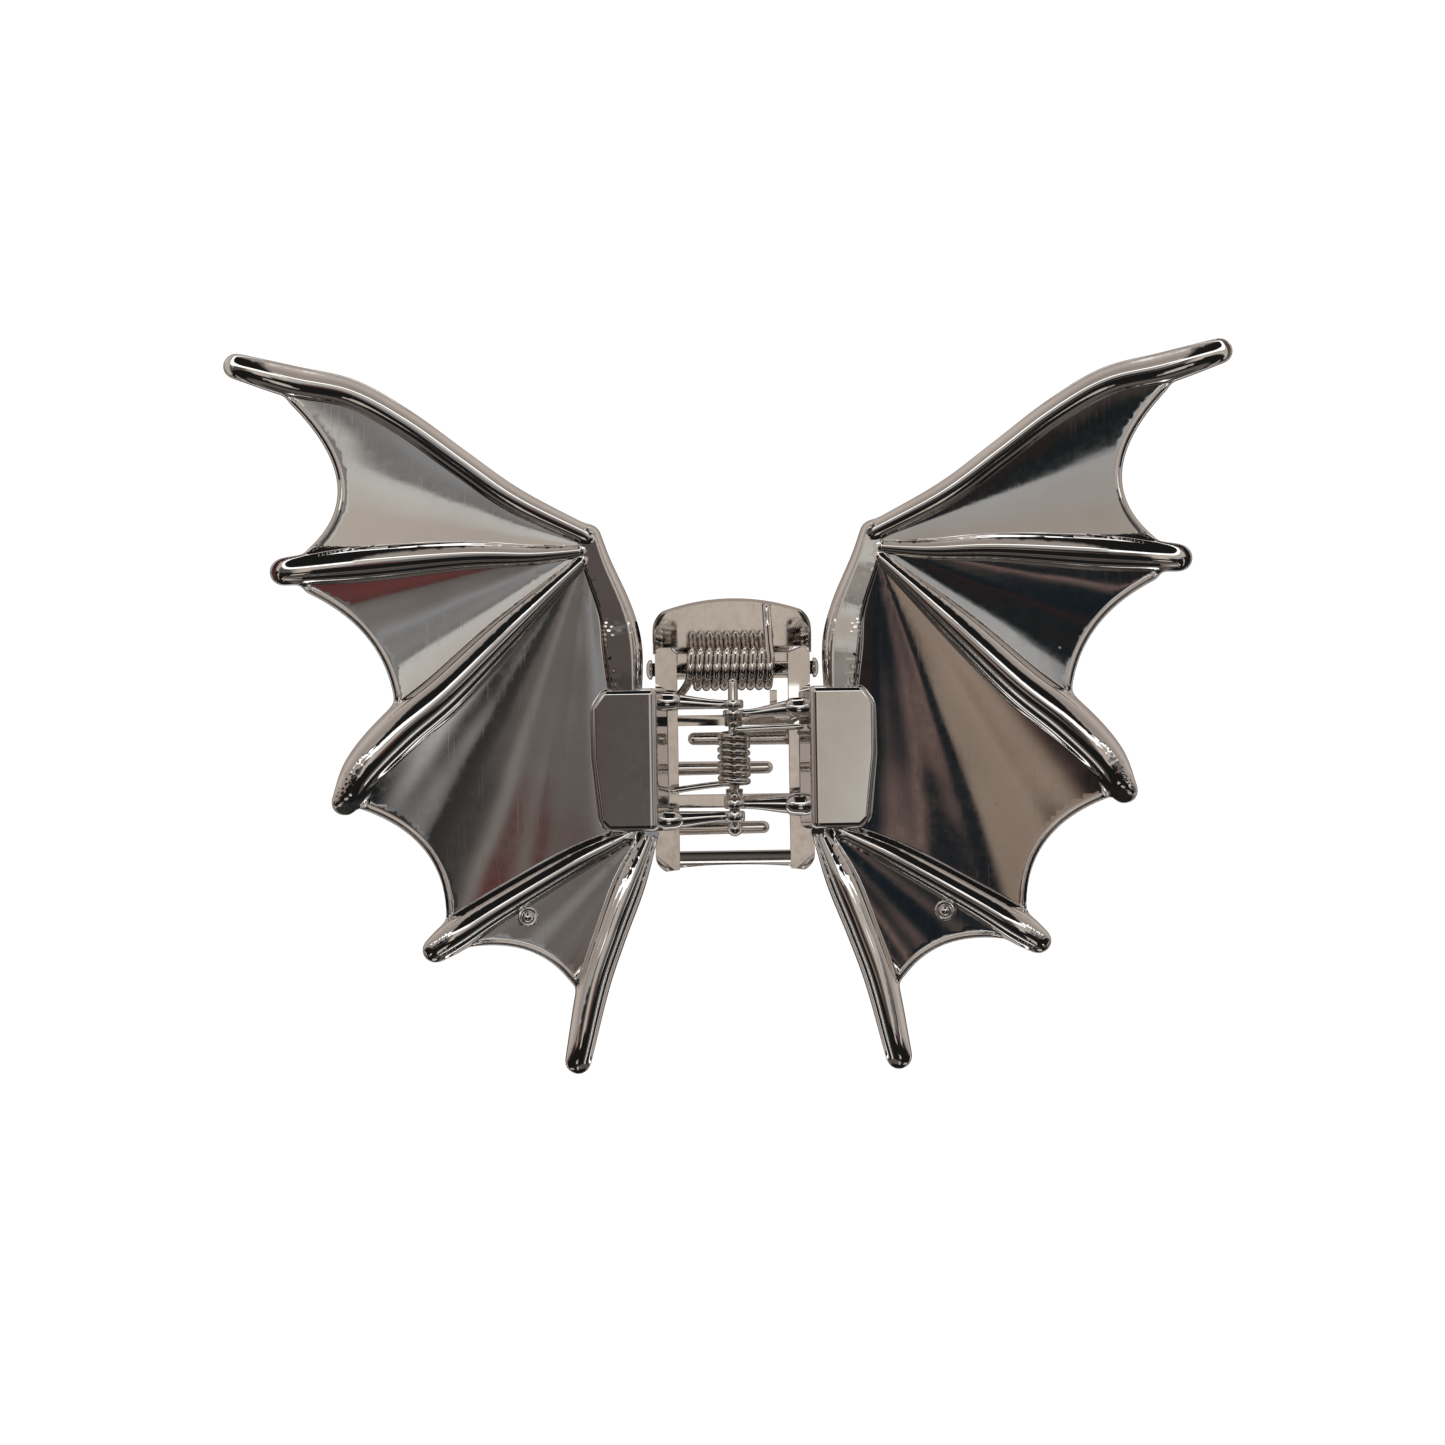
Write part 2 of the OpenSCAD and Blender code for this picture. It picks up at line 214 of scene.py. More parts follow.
def make_materials():
    return {
        "wing": plated_metal(
            "wing chrome", (0.80, 0.78, 0.76), (0.72, 0.69, 0.67), 0.05, wave=0.35, specks=0.3
        ),
        "bracket": plated_metal("bracket chrome", (0.82, 0.80, 0.78), (0.74, 0.71, 0.69), 0.07, wave=0.25),
        "jaw": plated_metal("jaw chrome", (0.80, 0.76, 0.72), (0.70, 0.66, 0.62), 0.10, scratch=0.3),
        "pin": plated_metal("pin steel", (0.75, 0.73, 0.70), (0.60, 0.57, 0.55), 0.10, scratch=0.5),
        "wire": plated_metal("spring wire", (0.80, 0.77, 0.73), (0.62, 0.58, 0.54), 0.08, scratch=0.2),
    }


# ---------------------------------------------------------------- mesh helpers
def new_piece(name, verts, faces, material, body, nodes, slot):
    """A smooth-shaded piece, given in millimetres, that stands for CAD nodes and rides on a body."""
    mesh = bpy.data.meshes.new(name)
    mesh.from_pydata([tuple(v) for v in np.asarray(verts) * MM], [], faces)
    mesh.validate()
    piece = bpy.data.objects.new(name, mesh)
    bpy.context.scene.collection.objects.link(piece)
    finish_piece(piece, material, body, nodes)
    return piece


def finish_piece(piece, material, body, nodes):
    piece.data.materials.clear()
    piece.data.materials.append(material)
    piece.data.shade_smooth()
    if body:
        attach(piece, body)
    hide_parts(*nodes)


def bevelled(piece, width, segments=3, angle=28):
    """Rounds the piece's edges and keeps its flat faces flat."""
    bevel = piece.modifiers.new("bevel", "BEVEL")
    bevel.width = width * MM
    bevel.segments = segments
    bevel.limit_method = "ANGLE"
    bevel.angle_limit = radians(angle)
    bevel.miter_outer = "MITER_ARC"
    bevel.harden_normals = False
    weighted = piece.modifiers.new("weighted", "WEIGHTED_NORMAL")
    weighted.keep_sharp = True


def smooth_path(points, steps=8):
    """Catmull-Rom curve through the points."""
    p = [np.array(q, float) for q in points]
    p = [2 * p[0] - p[1]] + p + [2 * p[-1] - p[-2]]
    out = []
    for a, b, c, d in zip(p, p[1:], p[2:], p[3:]):
        for i in range(steps):
            t = i / steps
            out.append(0.5 * (2 * b + (c - a) * t + (2 * a - 5 * b + 4 * c - d) * t**2
                              + (3 * b - a - 3 * c + d) * t**3))
    return np.array(out + [p[-2]])


def tube(path, radii, sides=20, up=(0, 0, 1), flat=1.0):
    """Vertices and faces of a round or flattened tube with round ends along a path."""
    path = np.asarray(path, float)
    radii = np.broadcast_to(np.asarray(radii, float), len(path)).copy()
    along = np.gradient(path, axis=0)
    along /= np.linalg.norm(along, axis=1, keepdims=True)
    # Round ends: a few shrinking rings past each end
    cap = [(sin(a), cos(a)) for a in np.linspace(0.45, 1.5, 4)]
    head = [(path[0] - along[0] * radii[0] * s * flat, along[0], radii[0] * c) for s, c in reversed(cap)]
    tail = [(path[-1] + along[-1] * radii[-1] * s * flat, along[-1], radii[-1] * c) for s, c in cap]
    rings = head + list(zip(path, along, radii)) + tail
    verts, faces = [], []
    for centre, way, r in rings:
        side = np.cross(up, way)
        side /= np.linalg.norm(side)
        over = np.cross(way, side)
        for k in range(sides):
            a = 2 * pi * k / sides
            verts.append(centre + r * (cos(a) * side + flat * sin(a) * over))
    for i in range(len(rings) - 1):
        for k in range(sides):
            n = (k + 1) % sides
            faces.append([i * sides + k, i * sides + n, (i + 1) * sides + n, (i + 1) * sides + k])
    faces.append(list(range(sides))[::-1])
    faces.append([(len(rings) - 1) * sides + k for k in range(sides)])
    return verts, faces


def lathe(profile, axis, centre, sides=48, closed=False):
    """Turned shape: profile is (place along the axis, radius); a closed one is a ring."""
    axis = Vector(axis)
    side = axis.orthogonal().normalized()
    over = axis.cross(side)
    verts, faces = [], []
    for along, r in profile:
        for k in range(sides):
            a = 2 * pi * k / sides
            verts.append(Vector(centre) + axis * along + (side * cos(a) + over * sin(a)) * r)
    rows = len(profile)
    for i in range(rows if closed else rows - 1):
        j = (i + 1) % rows
        for k in range(sides):
            n = (k + 1) % sides
            faces.append([i * sides + k, i * sides + n, j * sides + n, j * sides + k])
    if not closed:
        faces.append(list(range(sides))[::-1])
        faces.append([(rows - 1) * sides + k for k in range(sides)])
    return verts, faces


def joined(*parts):
    """One vertex and face list out of several."""
    verts, faces = [], []
    for v, f in parts:
        shift = len(verts)
        verts += [tuple(p) for p in v]
        faces += [[i + shift for i in face] for face in f]
    return verts, faces


def mirrored(part):
    """The same shape on the other side of X = 0."""
    verts, faces = part
    return [(-v[0], v[1], v[2]) for v in verts], [list(face)[::-1] for face in faces]


# ---------------------------------------------------------------- wings
def rib_fields(points, rib):
    """At each point: distance outside the rib, distance from its centreline in half widths,
    the side of the centreline, the half width there, and the length left to the rib's end."""
    a, b = rib[:-1], rib[1:]
    step = (b - a)[:, :2]
    offset = points[:, None, :] - a[None, :, :2]
    raw = (offset * step).sum(2) / (step**2).sum(1)
    t = np.clip(raw, 0, 1)
    radius = a[:, 2] + t * (b - a)[:, 2]
    away = offset - t[..., None] * step
    lengths = np.linalg.norm(step, axis=1)
    starts = np.cumsum(lengths) - lengths
    distance = np.linalg.norm(away, axis=2)
    best = (distance / radius).argmin(1)
    row = np.arange(len(points))
    side = np.sign(step[best, 0] * away[row, best, 1] - step[best, 1] * away[row, best, 0])
    distance, radius = distance[row, best], radius[row, best]
    left = lengths.sum() + b[-1, 2] - starts[best] - np.maximum(raw[row, best], 0) * lengths[best]
    return distance - radius, distance / radius, side, radius, left


def outline_distance(points, outline):
    """Signed distance to a closed outline, negative inside."""
    a = outline
    b = np.roll(outline, -1, axis=0)
    step = b - a
    offset = points[:, None, :] - a[None]
    t = np.clip((offset * step).sum(2) / np.maximum((step**2).sum(1), 1e-9), 0, 1)
    near = np.linalg.norm(offset - t[..., None] * step, axis=2).min(1)
    x, y = points[:, 0, None], points[:, 1, None]
    above = (a[None, :, 1] > y) != (b[None, :, 1] > y)
    slope = np.where(step[:, 1] == 0, 1e-9, step[:, 1])
    crossing = a[None, :, 0] + (y - a[None, :, 1]) * step[None, :, 0] / slope[None]
    inside = ((x < crossing) & above).sum(1) % 2 == 1
    return np.where(inside, -near, near)


def smooth_min(a, b, k):
    h = np.clip(0.5 + 0.5 * (b - a) / k, 0, 1)
    return b * (1 - h) + a * h - k * h * (1 - h)


class WingShape:
    """The right wing in its own plane: millimetres along it, Y, and height over its underside."""

    def __init__(self):
        def in_plane(points):
            q = np.array(points, float)
            q[:, 0] /= cos(DIHEDRAL)
            return q

        self.ribs = [smooth_path(in_plane(r)) for r in (ARM, LEADING, SECOND, THIRD, FOURTH, FIFTH)]
        t = np.linspace(0, 1, 17)[:, None]
        edges = []
        for s in SCALLOPS:
            p, c, q = (np.array(point, float) for point in s)
            edges.append((1 - t) ** 2 * p + 2 * t * (1 - t) * c + t**2 * q)
        arm, leading, third, fifth = (np.array(r)[:, :2] for r in (ARM, LEADING, THIRD, FIFTH))
        plate = np.concatenate([
            WING_ROOT, arm, leading[1:6], edges[0], edges[1], third[5:6],
            edges[2], edges[3], fifth[[2, 1]],
        ])
        self.plate = in_plane(plate)
        self.wrist = WRIST / (cos(DIHEDRAL), 1)
        self.foot = FOOT / (cos(DIHEDRAL), 1)

    def off_ribs(self, points):
        """Distance to the nearest rib's edge, negative on a rib."""
        return np.min([rib_fields(points, rib)[0] for rib in self.ribs], axis=0)

    def outside(self, points):
        """Distance outside the wing's outline, with small fillets where ribs meet the edges."""
        d = outline_distance(points, self.plate)
        for rib in self.ribs:
            d = smooth_min(d, rib_fields(points, rib)[0], 0.5)
        return d

    def membrane(self, points):
        """Membrane height: shallow dishes and folds that fan out from the wrist or the foot."""
        fourth = self.ribs[4]
        below = points[:, 1] < np.interp(points[:, 0], fourth[:, 0], fourth[:, 1])
        centre = np.where(below[:, None], self.foot, self.wrist)
        reach = points - centre
        rho = np.linalg.norm(reach, axis=1)
        angle = np.arctan2(reach[:, 1], reach[:, 0])
        # Angles past this one count on below the first membrane's
        turn = radians(100)
        angle = np.where(angle > turn, angle - 2 * pi, angle)
        dish = np.full(len(points), 0.02 * DISH)
        for low, high, lowest in MEMBRANES:
            low, high = radians(low), radians(high)
            t = np.minimum((angle - low) / (high - low), 1)
            rise = 0.25 * DISH * (high - low) * ((2 * (t - lowest)) ** 2 - (2 * (1 - lowest)) ** 2 + 1)
            dish = np.where((t >= 0) & ~below, rise, dish)
        # Below the first membrane, the slope is that of its last edge
        first, second, _ = np.radians(MEMBRANES[0])
        dish = np.where((angle < first) & ~below, 0.25 * DISH * (second - first), dish)
        folds = 0.0006 * np.sin(13 * angle + 0.9) + 0.0002 * np.sin(37 * angle)
        return MEMBRANE_T - 0.2 + rho * (dish + folds)

    def top(self, points):
        """Height of the upper face."""
        height = self.membrane(points)
        edge = -self.outside(points)
        # The rim bead fades out where it meets a rib
        clear = self.off_ribs(points)
        height += 0.22 * np.exp(-(((edge - 0.35) / 0.22) ** 2)) * np.clip(clear / 0.5, 0, 1)
        for number, rib in enumerate(self.ribs):
            _, u, side, r, left = rib_fields(points, rib)
            crown = np.sqrt(np.clip(1 - u**2, 0, None))
            if number == 0:
                # The arm has a flat facet that falls towards the membrane
                crown = smooth_min(crown, 0.76 + 0.33 * u * side, 0.08)
            else:
                # The others come down to a round tip
                crown *= np.sqrt(1 - (1 - np.clip(left / (3.4 * r), 0, 1)) ** 2)
            bone = MEMBRANE_T / 2 + 0.92 * r * crown - 3 * r * np.clip(np.abs(u) - 1, 0, None)
            if number >= 2:
                # A groove runs along one flank of the ribs below the leading one
                bone -= 0.07 * r * np.exp(-(((u * side + 0.52) / 0.1) ** 2))
            height = -smooth_min(-height, -bone, 0.3)
        return height

    def top_normals(self, points):
        """Directions square to the upper face, in the wing's own plane."""
        step = 0.03
        slopes = []
        for axis in ((step, 0), (0, step)):
            slopes.append((self.top(points + axis) - self.top(points - axis)) / (2 * step))
        normals = np.column_stack([-slopes[0], -slopes[1], np.ones(len(points))])
        return normals / np.linalg.norm(normals, axis=1, keepdims=True)

    def under(self, points):
        """Height of the underside: the ribs are hollow behind."""
        height = np.zeros(len(points))
        for rib in self.ribs:
            _, u, _, r, _ = rib_fields(points, rib)
            height = np.maximum(height, 0.55 * r * np.clip(1 - (u / 0.72) ** 2, 0, None) ** 0.8)
        return height


def contour(shape, step):
    """The wing's outline as a closed loop, from squares of the outside distance's sign."""
    xs = np.arange(4, 62, step)
    ys = np.arange(-44, 44, step)
    grid = np.stack(np.meshgrid(xs, ys, indexing="ij"), -1).reshape(-1, 2)
    d = shape.outside(grid).reshape(len(xs), len(ys))
    links = {}
    inside = d < 0
    changes = (
        (inside[:-1, :-1] != inside[1:, :-1]) | (inside[:-1, :-1] != inside[:-1, 1:])
        | (inside[1:, 1:] != inside[1:, :-1]) | (inside[1:, 1:] != inside[:-1, 1:])
    )
    for i, j in np.argwhere(changes):
        ring = [(i, j), (i + 1, j), (i + 1, j + 1), (i, j + 1)]
        cuts = []
        for a, b in zip(ring, ring[1:] + ring[:1]):
            if inside[a] != inside[b]:
                cuts.append(tuple(sorted([a, b])))
        for a, b in zip(cuts[::2], cuts[1::2]):
            links.setdefault(a, []).append(b)
            links.setdefault(b, []).append(a)
    start = next(iter(links))
    loop, last, here = [start], None, start
    while True:
        ahead = [c for c in links[here] if c != last]
        last, here = here, ahead[0]
        if here == start:
            break
        loop.append(here)

    def cut(edge):
        a, b = edge
        t = d[a] / (d[a] - d[b])
        pa, pb = np.array([xs[a[0]], ys[a[1]]]), np.array([xs[b[0]], ys[b[1]]])
        return pa + t * (pb - pa)

    return np.array([cut(edge) for edge in loop])


def even_loop(loop, spacing):
    """The same loop with evenly spaced, lightly smoothed points."""
    closed = np.vstack([loop, loop[:1]])
    length = np.concatenate([[0], np.cumsum(np.linalg.norm(np.diff(closed, axis=0), axis=1))])
    count = int(length[-1] / spacing)
    at = np.linspace(0, length[-1], count, endpoint=False)
    even = np.stack([np.interp(at, length, closed[:, k]) for k in range(2)], 1)
    for _ in range(2):
        even = 0.5 * even + 0.25 * (np.roll(even, 1, 0) + np.roll(even, -1, 0))
    area = np.sum(even[:, 0] * np.roll(even[:, 1], -1) - even[:, 1] * np.roll(even[:, 0], -1))
    return even if area > 0 else even[::-1]


def inner_points(shape, edge, inward):
    """Rows of points along the rim and every rib, and a grid over the membranes."""
    rim = np.concatenate([edge + depth * inward for depth in (0.24, 0.35, 0.46, 0.6, 0.8)])
    clear = shape.off_ribs(rim) > 0.75
    kept = [rim[clear & (shape.outside(rim) < -0.2)]]
    for number, rib in enumerate(shape.ribs):
        rows = []
        line = smooth_path(rib[::8], 20)
        way = np.gradient(line[:, :2], axis=0)
        way /= np.linalg.norm(way, axis=1, keepdims=True)
        normal = np.stack([-way[:, 1], way[:, 0]], 1)
        r = line[:, 2:3]
        offsets = [r * u for u in (0.12, 0.25, 0.36, 0.45, 0.54, 0.62, 0.7, 0.78, 0.86)]
        offsets += [r + gap for gap in (-0.12, -0.04, 0.05, 0.15, 0.27, 0.42, 0.62)]
        rows.append(line[:, :2])
        for offset in offsets:
            rows.append(line[:, :2] + normal * offset)
            rows.append(line[:, :2] - normal * offset)
        tip, ahead, r = line[-1, :2], way[-1], line[-1, 2]
        for ring in (0.3, 0.5, 0.68, 0.82, 0.92):
            for a in np.linspace(-pi / 2, pi / 2, 15):
                rows.append((tip + ring * r * (cos(a) * ahead + sin(a) * normal[-1]))[None])
        rows = np.concatenate(rows)
        own = rib_fields(rows, rib)[0]
        rest = shape.ribs[:number] + shape.ribs[number + 1 :]
        others = np.min([rib_fields(rows, other)[0] for other in rest], axis=0)
        kept.append(rows[(own < others) & (shape.outside(rows) < -0.16)])
    xs = np.arange(6, 60, 0.6)
    ys = np.arange(-42, 42, 0.6)
    grid = np.stack(np.meshgrid(xs, ys, indexing="ij"), -1).reshape(-1, 2)
    clear = shape.off_ribs(grid) > 0.85
    kept.append(grid[clear & (shape.outside(grid) < -0.95)])
    return np.concatenate(kept)


def wing_mesh():
    """The right wing as one closed mesh: upper face, rounded edge and hollow-ribbed underside.
    Also gives each upper vertex's normal, and zeros for the rest."""
    shape = WingShape()
    edge = even_loop(contour(shape, 0.3), 0.35)
    count = len(edge)
    inward = np.roll(edge, -1, 0) - np.roll(edge, 1, 0)
    inward = np.stack([-inward[:, 1], inward[:, 0]], 1)
    inward /= np.linalg.norm(inward, axis=1, keepdims=True)
    rim = edge + 0.12 * inward
    inner = inner_points(shape, edge, inward)
    flat = np.concatenate([rim, inner])
    links = [(i, (i + 1) % count) for i in range(count)]
    found = delaunay_2d_cdt([Vector(p) for p in flat], links, [], 1, 1e-5)
    points = np.array([tuple(v) for v in found[0]])
    faces = [list(f) for f in found[2]]
    source = {old[0]: new for new, old in enumerate(found[3]) if old}

    above = np.column_stack([points, shape.top(points)])
    below = np.column_stack([points, shape.under(points)])
    rims = [source[i] for i in range(count)]
    wall_top = shape.top(rim)
    upper = np.column_stack([edge, np.maximum(wall_top - 0.14, 0.3)])
    lower = np.column_stack([edge, np.full(count, 0.14)])
    base = len(points)
    verts = np.concatenate([above, below, upper, lower])
    a, b = 2 * base, 2 * base + count
    all_faces = faces + [[i + base for i in f[::-1]] for f in faces]
    for i in range(count):
        j = (i + 1) % count
        all_faces.append([rims[j], rims[i], a + i, a + j])
        all_faces.append([a + j, a + i, b + i, b + j])
        all_faces.append([b + j, b + i, rims[i] + base, rims[j] + base])
    normals = np.zeros(verts.shape)
    normals[:base] = shape.top_normals(points)
    return verts, all_faces, normals


def tilted(vectors):
    """Turned from the wing's own plane to the clip's axes."""
    x = vectors[:, 0] * cos(DIHEDRAL) - vectors[:, 2] * sin(DIHEDRAL)
    z = vectors[:, 0] * sin(DIHEDRAL) + vectors[:, 2] * cos(DIHEDRAL)
    return np.column_stack([x, vectors[:, 1], z])


def make_wings(materials):
    verts, faces, normals = wing_mesh()
    right = (tilted(verts) + (0, 0, WING_ROOT_Z), faces)
    normals = tilted(normals)
    for side, part, facing in (("right", right, 1), ("left", mirrored(right), -1)):
        body = side + "_wing"
        wing = new_piece("wing_" + side, *part, materials["wing"], body, [body], "wing_chrome")
        wing.data.normals_split_custom_set_from_vertices(normals * (facing, 1, 1))


def make_studs(materials):
    """Small domes in a shallow ring, one on each lowest membrane."""
    profile = [(-0.2, 1.15), (0.2, 1.15), (0.36, 1.05), (0.4, 0.9), (0.3, 0.74), (0.34, 0.66),
               (0.62, 0.56), (0.8, 0.36), (0.88, 0.12)]
    up = Vector((-sin(DIHEDRAL), 0, cos(DIHEDRAL)))
    centre = Vector((STUD[0], STUD[1], WING_ROOT_Z + STUD[0] * tan(DIHEDRAL))) + up * MEMBRANE_T
    right = lathe(profile, up, centre)
    for side, part in (("right", right), ("left", mirrored(right))):
        body, node = side + "_wing", side + "_stud"
        new_piece("stud_" + side, *part, materials["bracket"], body, [node], "bracket_chrome")


# ---------------------------------------------------------------- brackets
BLOCK_TOP, BLOCK_FOOT = 2.6, -13.2
BLOCK_INNER, BLOCK_OUTER = 7.1, 15.8


def block():
    """Handle block: its face falls away outwards and its inner wall slopes."""
    face_inner = 8.6
    outline = [
        (BLOCK_INNER, BLOCK_TOP), (BLOCK_OUTER - 1.4, BLOCK_TOP), (BLOCK_OUTER, 0.7),
        (BLOCK_OUTER, -5), (BLOCK_OUTER - 0.8, -12.2), (BLOCK_OUTER - 1.8, BLOCK_FOOT),
        (BLOCK_INNER, BLOCK_FOOT),
    ]

    def between(x, near, far):
        t = (x - BLOCK_INNER) / (BLOCK_OUTER - BLOCK_INNER)
        return near + (far - near) * t

    low = [(x, y, between(x, 6.1, 7.4)) for x, y in outline]
    high = [(max(x, face_inner), y, between(max(x, face_inner), 10.07, 9.4)) for x, y in outline]
    count = len(outline)
    faces = [list(range(count))[::-1], [i + count for i in range(count)]]
    for i in range(count):
        j = (i + 1) % count
        faces.append([i, j, j + count, i + count])
    return low + high, faces


def eye(span):
    """Ring round the wing pin."""
    inner, r = 0.62, EYE_R
    low, high = span
    profile = [(low, inner + 0.08), (low, r - 0.22), (low + 0.07, r - 0.07), (low + 0.22, r),
               (high - 0.22, r), (high - 0.07, r - 0.07), (high, r - 0.22), (high, inner + 0.08),
               (high - 0.08, inner), (low + 0.08, inner)]
    return lathe(profile, (0, 1, 0), (0, 0, WING_PIN_Z), closed=True)


def arm(span, block_from, block_to):
    """Round tapered finger from its eye to the block, with a wider seat at the block."""
    start_x, end_x = 0.9, BLOCK_INNER + 0.5
    middle_eye, middle_block = sum(span) / 2, (block_from + block_to) / 2
    r_eye, r_block = (span[1] - span[0]) / 2, (block_to - block_from) / 2
    steps = 14
    path, radii = [], []
    for i in range(steps + 1):
        t = i / steps
        ease = t * t * (3 - 2 * t)
        y = middle_eye + (middle_block - middle_eye) * ease
        path.append((start_x + (end_x - start_x) * t, y, WING_PIN_Z + 0.1 * t))
        radii.append(r_eye + (r_block - r_eye) * ease)
    finger = tube(path, radii, sides=24, flat=0.95)
    seat_path = [(BLOCK_INNER + x, middle_block, WING_PIN_Z + 0.2) for x in (-0.5, 0.6)]
    seat = tube(seat_path, [r_block * 1.12, r_block * 1.2], sides=24)
    return joined(finger, seat, eye(span))


def make_brackets(materials):
    right_eyes, left_eyes = [(-0.75, 0.1), (-10.9, -9.8)], [(0.2, 1.2), (-12.3, -11.1)]
    right = joined(arm(right_eyes[0], -0.7, 1.2), arm(right_eyes[1], -11.6, -9.4))
    left = mirrored(joined(arm(left_eyes[0], 0.2, 2), arm(left_eyes[1], -13, -11)))
    for side, arms, body in (("right", right, "right_wing"), ("left", left, "left_wing")):
        face = block() if side == "right" else mirrored(block())
        node = side + "_bracket"
        piece = new_piece("block_" + side, *face, materials["bracket"], body, [node], "bracket_chrome")
        bevelled(piece, 0.8, 6)
        new_piece("arms_" + side, *arms, materials["bracket"], body, [node], "bracket_chrome")


# ---------------------------------------------------------------- jaws, pins and springs
def softened(node, name, material, body, width):
    """A CAD node's own shape with rounded edges."""
    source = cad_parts[node]
    mesh = source.data.copy()
    piece = bpy.data.objects.new(name, mesh)
    bpy.context.scene.collection.objects.link(piece)
    b = bmesh.new()
    b.from_mesh(mesh)
    bmesh.ops.remove_doubles(b, verts=b.verts, dist=1e-6)
    b.to_mesh(mesh)
    b.free()
    finish_piece(piece, material, body, [node])
    bevelled(piece, width)


def make_pins(materials):
    head, r, end = 1.1, 0.75, 9.6
    profile = [(-end, 0.35), (-end + 0.06, 0.7), (-end + 0.3, head), (-end + 0.62, head), (-end + 0.7, r),
               (end - 0.7, r), (end - 0.62, head), (end - 0.3, head), (end - 0.06, 0.7), (end, 0.35)]
    shape = lathe(profile, (1, 0, 0), JAW_PIN)
    new_piece("pin_of_jaws", *shape, materials["pin"], "lower_jaw", ["jaw_pin"], "pin_steel")
    r, top, foot, ball = 0.55, 3.6, -13.1, 0.85
    profile = [(foot - ball * cos(a), ball * sin(a)) for a in np.linspace(0.15, 2.4, 12)]
    profile += [(top - r + r * sin(a), r * cos(a)) for a in np.linspace(0, 1.45, 7)]
    shape = lathe(profile, (0, 1, 0), (0, 0, WING_PIN_Z))
    new_piece("pin_of_wings", *shape, materials["pin"], "upper_jaw", ["wing_pin"], "pin_steel")


def make_jaw_spring(materials):
    """Torsion spring: a leg on the press plate, and one under the upper jaw's left rail."""
    wire, turns, coil_r, near_x, far_x = 0.475, 9, 2.0, 4.25, -4.75
    steps = turns * 36 + 6
    coil = []
    for i in range(steps + 1):
        a = radians(60 + 10 * i)
        x = near_x + (far_x - near_x) * i / steps
        coil.append((x, JAW_PIN.y + coil_r * cos(a), JAW_PIN.z + coil_r * sin(a)))
    start = smooth_path([(3.9, 11.4, 3.35), (4, 9.2, 3.5), (4.1, 7.3, 4.45), coil[0]], 5)[:-1]
    end = smooth_path([coil[-1], (-5.1, 2.9, 4.6), (-5.9, 1.9, 4.15), (-7.2, 1, 4.05)], 5)[1:]
    shape = tube(np.concatenate([start, coil, end]), wire, 16, up=(1, 0.02, 0.01))
    piece = new_piece("spring_of_jaws", *shape, materials["wire"], None, ["jaw_spring"], "spring_wire")
    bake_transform(piece)


def make_wing_spring(materials):
    """Torsion spring in two halves, a right and a left one with a leg each, cut at its middle turn."""
    wire, turns, coil_r, top, foot = 0.36, 7.5, 1.49, -2.15, -8.05
    steps = int(turns * 36)
    half = steps // 2
    coil = []
    for i in range(steps + 1):
        a = radians(10 * i)
        coil.append((coil_r * sin(a), top + (foot - top) * i / steps, WING_PIN_Z + coil_r * cos(a)))
    high, low = WING_PIN_Z + coil_r, WING_PIN_Z - coil_r
    right_leg = smooth_path([(7.4, -1.9, high), (4, -2, high), (1.2, -2.12, high), coil[0]], 5)[:-1]
    left_bends = [coil[-1], (-1.2, -8.1, low), (-4, -8.4, low + 0.1), (-6.9, -8.8, low + 0.3)]
    left_leg = smooth_path(left_bends, 5)[1:]
    halves = [
        ("spring_right", "right_wing", np.concatenate([right_leg, coil[: half + 1]]), top),
        ("spring_left", "left_wing", np.concatenate([coil[half:], left_leg]), foot),
    ]
    for name, body, path, far in halves:
        shape = tube(path, wire, 14, up=(0.01, 1, 0.02))
        piece = new_piece(name, *shape, materials["wire"], None, ["wing_spring"], "spring_wire")
        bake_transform(piece)


# ---------------------------------------------------------------- floor, world and lights
def make_floor():
    bpy.ops.mesh.primitive_plane_add(size=4, location=(0, 0, -0.0002))
    floor = bpy.context.object
    floor.name = "floor"
    material = bpy.data.materials.new("pale floor")
    material.use_nodes = True
    n = Nodes(material.node_tree)
    out = n.add("OutputMaterial")
    glow = n.add("Emission", {"Color": (1, 1, 1, 1), "Strength": 1.05})
    n.link(glow.outputs[0], out.inputs["Surface"])
    floor.data.materials.append(material)
    # The metal mirrors the dark studio round the bright floor, not the floor itself
    floor.visible_glossy = False


# The studio's blacks and white strips, and the tan of the screens round the table
BLACK = 0.012
WHITE = 1.7
LOW_TAN = (0.36, 0.31, 0.28)
MID_TAN = (0.48, 0.42, 0.38)


